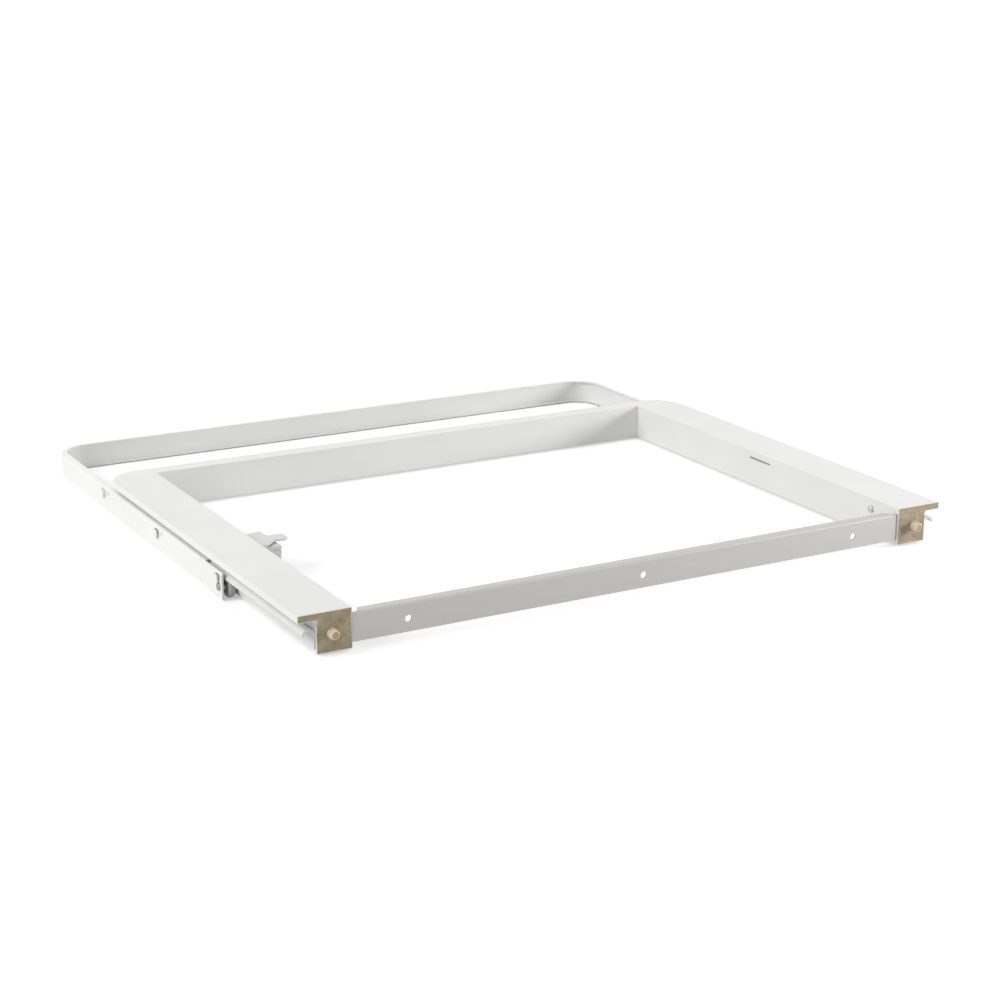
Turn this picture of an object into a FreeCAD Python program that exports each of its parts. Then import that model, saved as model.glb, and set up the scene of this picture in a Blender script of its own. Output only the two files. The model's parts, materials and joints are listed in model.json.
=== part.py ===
"""Pull-out basket frame: a white-faced wooden drawer frame that runs on rollers in a U-shaped steel band.

The width runs along X, the depth along Y (+Y to the back) and the height along Z. In the sketches y = 0 is
the front plane of the wooden boards and z = 0 is the underside of the band; every piece is then moved by
the same step along Y, so that the origin lies under the middle of the whole assembly. The frame is drawn
part of the way out, as it stands at rest.
"""
import FreeCAD, Part
import math
import os
import re
import Sketcher

# All sizes in millimetres.
SIZES = {
    # wooden frame
    "opening_width": 517,
    "board_length": 430.5,
    "block_width": 29,
    "block_height": 32.5,
    "lip_width": 15,
    "lip_thick": 6,
    "board_corner_r": 30,
    "back_thick": 17,
    # steel band
    "band_side_space": 14.5,
    "band_top_drop": 11,
    "band_height": 23.5,
    "band_sheet": 1.5,
    "band_top_flange": 5.5,
    "band_foot_flange": 8,
    "band_corner_r": 32,
    "band_bend_r": 2.2,
    "band_setback": 5,
    "band_rear_space": 9.5,
    "band_top_notch": 38,
    "band_foot_notch_gap": 1.6,
    "foot_relief_length": 6,
    "foot_relief_height": 1.4,
    # lanced hooks on the outside of the band
    "hook_length": 9,
    "hook_height": 7,
    "hook_out": 2.5,
    "hook_jog": 2.4,
    "hook_window_inset": 2.2,
    "hook_mid_setback": 148,
    "hook_pitch": 138,
    "hook_drop": 7.5,
    "front_hook_length": 8,
    "front_hook_height": 6.5,
    "front_hook_ahead": 1.9,
    "front_hook_above_head": 0.5,
    "sight_hole_d": 2.2,
    "sight_hole_before_hook": 13,
    "sight_hole_drop": 5,
    # travel of the wooden frame, counted from the place that it is drawn in
    "travel_in": 145,
    "travel_out": 155,
    "stop_gap": 0.6,
    # inverted-J slide rails on the wooden frame
    "slide_sheet": 1.4,
    "slide_width": 11,
    "slide_height": 16.4,
    "slide_lip_height": 4.9,
    "slide_bend_r": 4.5,
    "slide_top_drop": 12.6,
    "slide_front_gap": 2,
    "slide_rear_gap": 22.5,
    "slide_arch_gap": 3.5,
    "stop_lug_width": 6.1,
    "stop_lug_height": 9,
    "stop_lug_rise": 1,
    # rollers and the rivets that they turn on
    "run_gap": 0.3,
    "side_gap": 0.3,
    "front_roller_setback": 7,
    "front_roller_lift": 0.2,
    "front_roller_web_gap": 1.5,
    "front_roller_lip_gap": 0.5,
    "rear_roller_inset": 8,
    "rear_roller_play": 4.2,
    "rear_roller_width": 6.5,
    "rear_roller_wall_gap": 0.8,
    "rear_tread_r": 1.8,
    "journal_d": 5,
    "journal_gap": 0.06,
    "neck_d": 4,
    "shoulder_d": 7,
    "rivet_head_d": 6.6,
    "rivet_head_thick": 1.2,
    "inner_head_d": 8,
    "inner_head_thick": 1.2,
    "counterbore_gap": 0.5,
    "head_recess_gap": 0.5,
    # front rail
    "rail_setback": 1.2,
    "rail_sheet": 1.5,
    "rail_top_drop": 4.7,
    "rail_height": 23.5,
    "rail_flange": 9,
    "rail_bend_r": 2,
    "rail_end_relief": 5,
    "rail_return": 4,
    "rail_flange_relief": 5.5,
    "rail_flange_slant": 3.5,
    "rail_tab_depth": 17,
    "rail_tab_height": 17.5,
    "rail_tab_drop": 3.8,
    "rail_hole_d": 5.8,
    "rail_hole_pitch": 211,
    "rail_hole_drop": 13,
    # fixings
    "snug": 0.05,
    "hole_end_gap": 0.5,
    "front_dowel_d": 8,
    "front_dowel_out": 8,
    "front_dowel_in": 22,
    "front_dowel_inset": 12,
    "front_dowel_drop": 17,
    "front_dowel_squeeze": 0.2,
    "dowel_chamfer": 1,
    "joint_dowel_d": 6,
    "joint_dowel_half": 15,
    "joint_dowel_drop": 10,
    "joint_dowel_pitch": 13,
    "screw_d": 3.5,
    "screw_point": 2.5,
    "head_edge_r": 0.7,
    "slide_screw_length": 18,
    "slide_screw_head_d": 7,
    "slide_screw_front": 60,
    "slide_screw_pitch": 145,
    "slide_screw_rise": 5.5,
    "tab_screw_length": 9,
    "tab_screw_head_d": 6.5,
    "tab_screw_head_thick": 2,
    "tab_screw_setback": 10,
    "stud_length": 14,
    "stud_head_d": 6.2,
    "stud_head_thick": 2.2,
    "stud_setback": 36.7,
    "stud_drop": 9.5,
    # slots in the boards and the catch that is pushed into the left one
    "slot_setback": 186,
    "slot_length": 32,
    "slot_height": 1.8,
    "slot_depth": 12.5,
    "slot_drop": 6.7,
    "tongue_gap": 0.1,
    "tongue_end_gap": 1.5,
    "catch_neck": 12,
    "catch_plate_reach": 20.5,
    "catch_plate_length": 38,
    "catch_plate_slant": 4,
    "catch_nose_reach": 34.6,
    "catch_nose_front": 8,
    "catch_nose_width": 16.5,
    "catch_nose_corner": 3.5,
    "catch_notch": 1.5,
    "catch_body_reach": 24,
    "catch_body_height": 16,
    "catch_body_length": 15,
    "catch_body_drop": 1,
    "catch_lid": 2.6,
    "catch_groove": 1.4,
    "catch_band": 2.8,
    "catch_step": 1.2,
}

# Lengths and places that follow from the sizes.
LINKS = {
    "inner_half": "(opening_width / 2)",
    "block_half": "(inner_half + block_width)",
    "board_half": "(block_half + lip_width)",
    "band_half": "(block_half + band_side_space)",
    "band_wall": "(band_half - band_sheet)",
    "board_top": "(band_height + band_top_drop)",
    "board_under": "(board_top - block_height)",
    "band_front": "(travel_in + band_setback)",
    "band_rear": "(board_length + travel_in + band_rear_space)",
    "middle": "((band_rear - front_dowel_out) / 2)",
    "back_front": "(board_length - back_thick)",
    "slide_top": "(board_top - slide_top_drop)",
    "slide_foot": "(slide_top - slide_height)",
    "slide_web": "(block_half + slide_sheet)",
    "slide_side": "(block_half + slide_width)",
    "slide_rear": "(board_length - slide_rear_gap)",
    "arch_under": "(slide_top - slide_sheet)",
    "front_roller_r": "((arch_under - run_gap - front_roller_lift) / 2)",
    "front_roller_z": "(front_roller_lift + front_roller_r)",
    "front_roller_y": "(band_front + front_roller_setback)",
    "foot_notch_end": "(front_roller_y + front_roller_r + band_foot_notch_gap)",
    "front_roller_in": "(slide_web + front_roller_web_gap)",
    "front_roller_out": "(slide_side - slide_sheet - front_roller_lip_gap)",
    "front_tread_r": "(slide_bend_r - slide_sheet - front_roller_lip_gap)",
    "rear_roller_r": "((band_height - 2 * band_sheet - run_gap - rear_roller_play) / 2)",
    "rear_roller_z": "(band_sheet + run_gap + rear_roller_r)",
    "rear_roller_y": "(slide_rear - rear_roller_inset)",
    "rear_roller_out": "(band_wall - rear_roller_wall_gap)",
    "rear_roller_in": "(rear_roller_out - rear_roller_width)",
    "arch_end": "(rear_roller_y - rear_roller_r - slide_arch_gap)",
    "lug_front": "(front_roller_y + travel_out + front_roller_r + stop_gap)",
    "journal_r": "(journal_d / 2)",
    "neck_r": "(neck_d / 2)",
    "bore_r": "(journal_r + journal_gap)",
    "counterbore_r": "(inner_head_d / 2 + counterbore_gap)",
    "counterbore_depth": "(inner_head_thick + side_gap)",
    "screw_r": "(screw_d / 2)",
    "rail_top": "(board_top - rail_top_drop)",
    "rail_foot": "(rail_top - rail_height)",
    "rail_back": "(rail_setback + rail_sheet)",
    "tab_inner": "(inner_half - rail_sheet)",
    "tab_top": "(rail_top - rail_tab_drop)",
    "tab_foot": "(tab_top - rail_tab_height)",
    "tab_screw_y": "(rail_setback + tab_screw_setback)",
    "tab_screw_z": "(tab_foot + rail_tab_height / 2)",
    "slide_screw_z": "(slide_foot + slide_screw_rise)",
    "joint_dowel_y": "(board_length - back_thick / 2)",
    "joint_dowel_z": "(board_top - joint_dowel_drop)",
    "dowel_x": "(block_half - front_dowel_inset)",
    "dowel_z": "(board_top - front_dowel_drop)",
    "front_dowel_glued_r": "(front_dowel_d / 2 - front_dowel_squeeze - snug)",
    "stud_z": "(board_top - stud_drop)",
    "slot_z": "(board_top - slot_drop - slot_height / 2)",
    "plate_z": "(slot_z + tongue_gap)",
    "plate_thick": "(slot_height - 2 * tongue_gap)",
    "catch_body_top": "(plate_z - catch_body_drop)",
    "catch_body_foot": "(catch_body_top - catch_body_height)",
}

LEFT = -1
RIGHT = 1
SIDE_NAMES = {LEFT: "left", RIGHT: "right"}

# Which way each origin plane faces along its own axis.
FACING = {"XY_Plane": 1, "XZ_Plane": -1, "YZ_Plane": 1}

doc = FreeCAD.newDocument("basket_frame")
sheet = doc.addObject("Spreadsheet::Sheet", "Sizes")
for row, (alias, number) in enumerate(SIZES.items(), start=1):
    sheet.set("A%d" % row, alias)
    sheet.set("B%d" % row, str(number))
    sheet.setAlias("B%d" % row, alias)
doc.recompute()


def bind(text):
    """The expression with its linked lengths written out and its sizes read from the sheet."""
    text = str(text)
    while any(word in LINKS for word in re.findall(r"[a-z]\w*", text)):
        text = re.sub(r"[a-z]\w*", lambda found: LINKS.get(found.group(), found.group()), text)
    return re.sub(r"[a-z]\w*", lambda found: "Sizes." + found.group(), text)


def value(text):
    """The length that an expression stands for now."""
    return float(sheet.evalExpression(bind(text)))


def new_body(name):
    """A piece, moved so that the origin lies under the middle of the assembly."""
    body = doc.addObject("PartDesign::Body", name)
    body.Label = name
    body.AllowCompound = True
    body.setExpression("Placement.Base.y", bind("-1 * middle"))
    return body


def new_sketch(body, name, role, shift):
    """A sketch on one of the piece's own origin planes, shifted in the plane's own directions."""
    sketch = body.newObject("Sketcher::SketchObject", name)
    plane = [item for item in body.Origin.OriginFeatures if item.Role == role][0]
    sketch.AttachmentSupport = (plane, [""])
    sketch.MapMode = "FlatFace"
    for axis, text in zip("xyz", shift):
        sketch.setExpression("AttachmentOffset.Base." + axis, bind(text))
    return sketch


def towards(corner, other, radius):
    """The point that lies one radius from a corner on the way to the next one, along X or Y."""
    texts = []
    for here, there in zip(corner[:2], other[:2]):
        gap = value(there) - value(here)
        sign = 0 if abs(gap) < 1e-9 else math.copysign(1, gap)
        texts.append("(%s) + %d * (%s)" % (here, sign, radius) if sign else here)
    return texts


def draw_outline(sketch, corners, closed=True):
    """Straight lines through the corners; a corner's third value rounds it between X and Y runs."""
    stops = []
    for number, corner in enumerate(corners):
        if len(corner) == 2:
            stops.append((corner[0], corner[1], None, None))
            continue
        after = corners[(number + 1) % len(corners)]
        start = towards(corner, corners[number - 1], corner[2])
        finish = towards(corner, after, corner[2])
        stops.append((start[0], start[1], corner[2], corner))
        stops.append((finish[0], finish[1], None, None))
    spots = [FreeCAD.Vector(value(stop[0]), value(stop[1]), 0) for stop in stops]
    count = len(stops)
    pieces = []
    for number in range(count if closed else count - 1):
        start = spots[number]
        finish = spots[(number + 1) % count]
        radius = stops[number][2]
        if radius is None:
            edge = sketch.addGeometry(Part.LineSegment(start, finish))
            pieces.append((edge, 1, 2))
            continue
        tip = stops[number][3]
        tip = FreeCAD.Vector(value(tip[0]), value(tip[1]), 0)
        centre = start + finish - tip
        left_turn = (tip - start).cross(finish - tip).z > 0
        first, last = (start, finish) if left_turn else (finish, start)
        angles = [math.atan2(spot.y - centre.y, spot.x - centre.x) for spot in (first, last)]
        circle = Part.Circle(centre, FreeCAD.Vector(0, 0, 1), value(radius))
        edge = sketch.addGeometry(Part.ArcOfCircle(circle, angles[0], angles[1]))
        pieces.append((edge, 1, 2) if left_turn else (edge, 2, 1))
        mark = sketch.addConstraint(Sketcher.Constraint("Radius", edge, value(radius)))
        sketch.setExpression("Constraints[%d]" % mark, bind(radius))
    for number, (edge, first, last) in enumerate(pieces):
        pin_point(sketch, edge, first, stops[number], spots[number])
        if number or closed:
            before = pieces[number - 1]
            sketch.addConstraint(Sketcher.Constraint("Coincident", before[0], before[2], edge, first))
    if not closed:
        edge, first, last = pieces[-1]
        pin_point(sketch, edge, last, stops[-1], spots[-1])


def pin_point(sketch, edge, end, stop, spot):
    """Ties one point of a sketch to the expressions of its two distances."""
    for kind, text, number in (("DistanceX", stop[0], spot.x), ("DistanceY", stop[1], spot.y)):
        mark = sketch.addConstraint(Sketcher.Constraint(kind, -1, 1, edge, end, number))
        sketch.setExpression("Constraints[%d]" % mark, bind(text))


def draw_circles(sketch, centres, diameter):
    """Circles of one diameter about the centres."""
    for across, up in centres:
        spot = FreeCAD.Vector(value(across), value(up), 0)
        circle = Part.Circle(spot, FreeCAD.Vector(0, 0, 1), value(diameter) / 2)
        edge = sketch.addGeometry(circle)
        pin_point(sketch, edge, 3, (across, up), spot)
        mark = sketch.addConstraint(Sketcher.Constraint("Diameter", edge, value(diameter)))
        sketch.setExpression("Constraints[%d]" % mark, bind(diameter))


def extrude(body, kind, name, role, start, length, outlines=(), centres=(), diameter=0):
    """Adds or cuts outlines and circles from a start along the plane's axis, towards its plus side."""
    sketch = new_sketch(body, name + "_sketch", role, ("0", "0", "%d * (%s)" % (FACING[role], start)))
    for corners in outlines:
        draw_outline(sketch, corners)
    if centres:
        draw_circles(sketch, centres, diameter)
    feature = body.newObject(kind, name)
    feature.Profile = sketch
    feature.setExpression("Length", bind(length))
    feature.Reversed = (kind == "PartDesign::Pad") != (FACING[role] == 1)
    return feature


def pad(body, name, role, start, length, *outlines):
    return extrude(body, "PartDesign::Pad", name, role, start, length, outlines)


def pocket(body, name, role, start, length, *outlines):
    return extrude(body, "PartDesign::Pocket", name, role, start, length, outlines)


def drill(body, name, role, start, length, centres, diameter):
    return extrude(body, "PartDesign::Pocket", name, role, start, length, (), centres, diameter)


def turn(body, kind, name, axis, shift, corners):
    """Turns a half outline of (along, radius) about an axis along X at (y, z), or along Y at (z, x)."""
    role = {"X": "XY_Plane", "Y": "YZ_Plane"}[axis]
    sketch = new_sketch(body, name + "_sketch", role, ("0", shift[0], shift[1]))
    draw_outline(sketch, corners)
    feature = body.newObject(kind, name)
    feature.Profile = sketch
    feature.ReferenceAxis = (sketch, ["H_Axis"])
    feature.Angle = 360
    return feature


def box(x_low, x_high, y_low, y_high):
    """The four corners of a rectangle."""
    return [(x_low, y_low), (x_high, y_low), (x_high, y_high), (x_low, y_high)]


def out(side, text):
    """A distance from the middle plane, to the left or to the right."""
    return "%d * (%s)" % (side, text)


def screw_outline(side, face, head_d, head_thick, length):
    """Half outline of a pan-head screw driven outwards from a face that looks to the middle."""
    head = "%s - %s" % (face, head_thick)
    tip = "%s + %s" % (face, length)
    return [
        (out(side, head), "0"),
        (out(side, head), "%s / 2" % head_d, "head_edge_r"),
        (out(side, face), "%s / 2" % head_d),
        (out(side, face), "screw_r"),
        (out(side, tip + " - screw_point"), "screw_r"),
        (out(side, tip), "0"),
    ]


def make_side_board(side):
    """Block with a thin lip along its top, a rounded rear corner and the holes of its fixings."""
    body = new_body("side_board_" + SIDE_NAMES[side])
    plan = [
        (out(side, "inner_half"), "0"),
        (out(side, "inner_half"), "board_length"),
        (out(side, "board_half"), "board_length", "board_corner_r"),
        (out(side, "board_half"), "0"),
    ]
    pad(body, "board", "XY_Plane", "board_under", "block_height", plan)
    rebate = box(out(side, "block_half"), out(side, "board_half + lip_width"),
                 "board_under - lip_thick", "board_top - lip_thick")
    pocket(body, "rebate", "XZ_Plane", "0", "board_length", rebate)
    drill(body, "dowel_hole", "XZ_Plane", "0", "front_dowel_in + hole_end_gap",
          [(out(side, "dowel_x"), "dowel_z")], "front_dowel_d - 2 * front_dowel_squeeze")
    for number in range(2):
        turn(body, "PartDesign::Groove", "joint_hole_%d" % number, "X",
             ("joint_dowel_y", "joint_dowel_z - %d * joint_dowel_pitch" % number),
             box(out(side, "inner_half"), out(side, "inner_half + joint_dowel_half + hole_end_gap"),
                 "0", "joint_dowel_d / 2 + snug"))
    inward_holes = (("tab", "tab_screw_y", "tab_screw_z", "tab_screw_length - rail_sheet"),
                    ("stud", "stud_setback", "stud_z", "stud_length"))
    for name, along, up, depth in inward_holes:
        turn(body, "PartDesign::Groove", name + "_hole", "X", (along, up),
             box(out(side, "inner_half"), out(side, "inner_half + %s + hole_end_gap" % depth),
                 "0", "screw_r + snug"))
    for number in range(3):
        turn(body, "PartDesign::Groove", "slide_hole_%d" % number, "X",
             ("slide_screw_front + %d * slide_screw_pitch" % number, "slide_screw_z"),
             box(out(side, "block_half - slide_screw_length + slide_sheet - hole_end_gap"),
                 out(side, "block_half"), "0", "screw_r + snug"))
    turn(body, "PartDesign::Groove", "rivet_recess", "X", ("rear_roller_y", "rear_roller_z"),
         box(out(side, "block_half - rivet_head_thick - head_recess_gap"), out(side, "block_half"),
             "0", "rivet_head_d / 2 + head_recess_gap"))
    slot = box(out(side, "inner_half"), out(side, "inner_half + slot_depth"),
               "slot_setback", "slot_setback + slot_length")
    pocket(body, "slot", "XY_Plane", "slot_z", "slot_height", slot)
    return body


def make_back_board():
    """Cross board between the two side boards, with the holes of its joint dowels."""
    body = new_body("back_board")
    pad(body, "board", "XY_Plane", "board_under", "block_height",
        box("-1 * inner_half", "inner_half", "back_front", "board_length"))
    for side in (LEFT, RIGHT):
        for number in range(2):
            turn(body, "PartDesign::Groove", "joint_hole_%s_%d" % (SIDE_NAMES[side], number), "X",
                 ("joint_dowel_y", "joint_dowel_z - %d * joint_dowel_pitch" % number),
                 box(out(side, "inner_half - joint_dowel_half - hole_end_gap"), out(side, "inner_half"),
                     "0", "joint_dowel_d / 2 + snug"))
    return body


def make_joint_dowels():
    """Two glued dowels in each rear joint."""
    body = new_body("rear_joint_dowels")
    for side in (LEFT, RIGHT):
        near = "inner_half - joint_dowel_half"
        far = "inner_half + joint_dowel_half"
        for number in range(2):
            outline = [
                (out(side, near), "0"),
                (out(side, near), "joint_dowel_d / 2 - dowel_chamfer"),
                (out(side, near + " + dowel_chamfer"), "joint_dowel_d / 2"),
                (out(side, far + " - dowel_chamfer"), "joint_dowel_d / 2"),
                (out(side, far), "joint_dowel_d / 2 - dowel_chamfer"),
                (out(side, far), "0"),
            ]
            turn(body, "PartDesign::Revolution", "dowel_%s_%d" % (SIDE_NAMES[side], number), "X",
                 ("joint_dowel_y", "joint_dowel_z - %d * joint_dowel_pitch" % number), outline)
    return body


def make_front_dowel(side):
    """Dowel that stands out of the board's front end; the hole squeezes its glued half thinner."""
    body = new_body("front_dowel_" + SIDE_NAMES[side])
    outline = [
        ("-1 * front_dowel_out", "0"),
        ("-1 * front_dowel_out", "front_dowel_d / 2 - dowel_chamfer"),
        ("dowel_chamfer - front_dowel_out", "front_dowel_d / 2"),
        ("0", "front_dowel_d / 2"),
        ("0", "front_dowel_glued_r"),
        ("front_dowel_in - dowel_chamfer", "front_dowel_glued_r"),
        ("front_dowel_in", "front_dowel_glued_r - dowel_chamfer"),
        ("front_dowel_in", "0"),
    ]
    turn(body, "PartDesign::Revolution", "dowel", "Y", ("dowel_z", out(side, "dowel_x")), outline)
    return body


def make_front_rail():
    """Bent sheet rail: upright face, top flange and a tab at each end, folded back along the board."""
    body = new_body("front_rail")
    fold = [
        ("-1 * inner_half", "rail_setback + rail_tab_depth"),
        ("-1 * inner_half", "rail_setback", "rail_bend_r"),
        ("inner_half", "rail_setback", "rail_bend_r"),
        ("inner_half", "rail_setback + rail_tab_depth"),
        ("tab_inner", "rail_setback + rail_tab_depth"),
        ("tab_inner", "rail_back"),
        ("-1 * tab_inner", "rail_back"),
        ("-1 * tab_inner", "rail_setback + rail_tab_depth"),
    ]
    pad(body, "fold", "XY_Plane", "tab_foot", "rail_tab_height", fold)
    returns = []
    for side in (LEFT, RIGHT):
        returns.append([
            (out(side, "inner_half - rail_end_relief"), "rail_setback"),
            (out(side, "inner_half"), "rail_setback", "rail_bend_r"),
            (out(side, "inner_half"), "rail_setback + rail_return"),
            (out(side, "tab_inner"), "rail_setback + rail_return"),
            (out(side, "tab_inner"), "rail_back"),
            (out(side, "inner_half - rail_end_relief"), "rail_back"),
        ])
    pad(body, "returns", "XY_Plane", "rail_foot", "rail_height", *returns)
    section = [
        ("rail_setback", "rail_foot"),
        ("rail_back", "rail_foot"),
        ("rail_back", "rail_top - rail_sheet"),
        ("rail_setback + rail_flange", "rail_top - rail_sheet"),
        ("rail_setback + rail_flange", "rail_top"),
        ("rail_setback", "rail_top", "rail_bend_r"),
    ]
    pad(body, "face", "YZ_Plane", "rail_end_relief - inner_half",
        "opening_width - 2 * rail_end_relief", section)
    reliefs = []
    for side in (LEFT, RIGHT):
        reliefs.append([
            (out(side, "inner_half - rail_end_relief"), "rail_setback + rail_bend_r"),
            (out(side, "inner_half - rail_end_relief"), "rail_setback + rail_flange"),
            (out(side, "inner_half - rail_flange_relief - rail_flange_slant"), "rail_setback + rail_flange"),
            (out(side, "inner_half - rail_flange_relief"), "rail_setback + rail_bend_r"),
        ])
    pocket(body, "reliefs", "XY_Plane", "rail_top - rail_sheet", "rail_sheet", *reliefs)
    centres = [("%d * rail_hole_pitch" % step, "rail_top - rail_hole_drop") for step in (-1, 0, 1)]
    drill(body, "holes", "XZ_Plane", "rail_setback", "rail_sheet", centres, "rail_hole_d")
    for side in (LEFT, RIGHT):
        turn(body, "PartDesign::Groove", "tab_hole_" + SIDE_NAMES[side], "X", ("tab_screw_y", "tab_screw_z"),
             box(out(side, "tab_inner"), out(side, "inner_half"), "0", "screw_r + snug"))
    return body


def make_rail_screws():
    """One short screw through each end tab of the front rail."""
    body = new_body("front_rail_screws")
    for side in (LEFT, RIGHT):
        outline = screw_outline(side, "tab_inner", "tab_screw_head_d", "tab_screw_head_thick",
                                "tab_screw_length")
        turn(body, "PartDesign::Revolution", "screw_" + SIDE_NAMES[side], "X",
             ("tab_screw_y", "tab_screw_z"), outline)
    return body


def make_stud(side):
    """Round-headed screw in the inner face of the board, which the basket hangs on."""
    body = new_body("basket_stud_" + SIDE_NAMES[side])
    outline = screw_outline(side, "inner_half", "stud_head_d", "stud_head_thick", "stud_length")
    turn(body, "PartDesign::Revolution", "stud", "X", ("stud_setback", "stud_z"), outline)
    return body


def make_slide_rail(side):
    """Inverted-J rail: a web on the board's outer face, an arch over the front roller and a stop lug."""
    body = new_body("slide_rail_" + SIDE_NAMES[side])
    section = [
        (out(side, "block_half"), "slide_foot"),
        (out(side, "slide_web"), "slide_foot"),
        (out(side, "slide_web"), "arch_under", "slide_bend_r - slide_sheet"),
        (out(side, "slide_side - slide_sheet"), "arch_under", "slide_bend_r - slide_sheet"),
        (out(side, "slide_side - slide_sheet"), "slide_top - slide_lip_height"),
        (out(side, "slide_side"), "slide_top - slide_lip_height"),
        (out(side, "slide_side"), "slide_top", "slide_bend_r"),
        (out(side, "block_half"), "slide_top", "slide_bend_r"),
    ]
    pad(body, "section", "XZ_Plane", "slide_front_gap", "slide_rear - slide_front_gap", section)
    pocket(body, "arch_end", "XZ_Plane", "arch_end", "slide_rear - arch_end",
           box(out(side, "slide_web"), out(side, "slide_side"), "slide_foot", "slide_top"))
    pad(body, "stop_lug", "XZ_Plane", "lug_front", "slide_sheet",
        box(out(side, "block_half"), out(side, "slide_web + stop_lug_width"),
            "slide_foot + stop_lug_rise", "slide_foot + stop_lug_rise + stop_lug_height"))
    for number in range(3):
        sink = [
            (out(side, "block_half"), "0"),
            (out(side, "block_half"), "slide_screw_head_d / 2 - slide_sheet + snug"),
            (out(side, "slide_web"), "slide_screw_head_d / 2 + snug"),
            (out(side, "slide_web"), "0"),
        ]
        turn(body, "PartDesign::Groove", "sink_%d" % number, "X",
             ("slide_screw_front + %d * slide_screw_pitch" % number, "slide_screw_z"), sink)
    turn(body, "PartDesign::Groove", "rivet_hole", "X", ("rear_roller_y", "rear_roller_z"),
         box(out(side, "block_half"), out(side, "slide_web"), "0", "neck_r + snug"))
    return body


def make_slide_screws(side):
    """Three countersunk screws, flush with the web that they hold."""
    body = new_body("slide_rail_screws_" + SIDE_NAMES[side])
    tip = "slide_web - slide_screw_length"
    for number in range(3):
        outline = [
            (out(side, "slide_web"), "0"),
            (out(side, "slide_web"), "slide_screw_head_d / 2"),
            (out(side, "block_half"), "slide_screw_head_d / 2 - slide_sheet"),
            (out(side, "block_half"), "screw_r"),
            (out(side, tip + " + screw_point"), "screw_r"),
            (out(side, tip), "0"),
        ]
        turn(body, "PartDesign::Revolution", "screw_%d" % number, "X",
             ("slide_screw_front + %d * slide_screw_pitch" % number, "slide_screw_z"), outline)
    return body


def make_roller(name, side, near, far, radius, tread_r, along, up):
    """Roller with a rounded tread, and a counterbore in its far face for the rivet's inner head."""
    body = new_body(name)
    floor = "%s + %s * counterbore_depth" % (far, "1" if value(near) > value(far) else "-1")
    outline = [
        (out(side, near), "bore_r"),
        (out(side, near), radius, tread_r),
        (out(side, far), radius, tread_r),
        (out(side, far), "counterbore_r"),
        (out(side, floor), "counterbore_r"),
        (out(side, floor), "bore_r"),
    ]
    turn(body, "PartDesign::Revolution", "roller", "X", (along, up), outline)
    return body


def make_rivet(name, side, face, sheet_thick, near, far, along, up):
    """Shouldered rivet: head behind the sheet, neck through it, shoulder, journal and inner head."""
    body = new_body(name)
    way = 1 if value(near) < value(far) else -1
    back = "%s - %d * %s" % (face, way, sheet_thick)
    head = "%s - %d * rivet_head_thick" % (back, way)
    shoulder = "%s - %d * side_gap" % (near, way)
    inner = "%s - %d * inner_head_thick" % (far, way)
    outline = [
        (out(side, head), "0"),
        (out(side, head), "rivet_head_d / 2", "head_edge_r"),
        (out(side, back), "rivet_head_d / 2"),
        (out(side, back), "neck_r"),
        (out(side, face), "neck_r"),
        (out(side, face), "shoulder_d / 2"),
        (out(side, shoulder), "shoulder_d / 2"),
        (out(side, shoulder), "journal_r"),
        (out(side, inner), "journal_r"),
        (out(side, inner), "inner_head_d / 2"),
        (out(side, far), "inner_head_d / 2"),
        (out(side, far), "0"),
    ]
    turn(body, "PartDesign::Revolution", "rivet", "X", (along, up), outline)
    return body


def hook_outline(side, front, length):
    """A strap lanced out of the wall: rooted behind its window, set out and open to the front."""
    rear = "%s + %s" % (front, length)
    return [
        (out(side, "band_wall"), rear),
        (out(side, "band_half + hook_out - band_sheet"), rear + " - hook_jog"),
        (out(side, "band_half + hook_out - band_sheet"), front),
        (out(side, "band_half + hook_out"), front),
        (out(side, "band_half + hook_out"), rear + " - hook_jog / 2"),
        (out(side, "band_half"), rear + " + hook_jog / 2"),
        (out(side, "band_wall"), rear + " + hook_jog / 2"),
    ]


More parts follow.
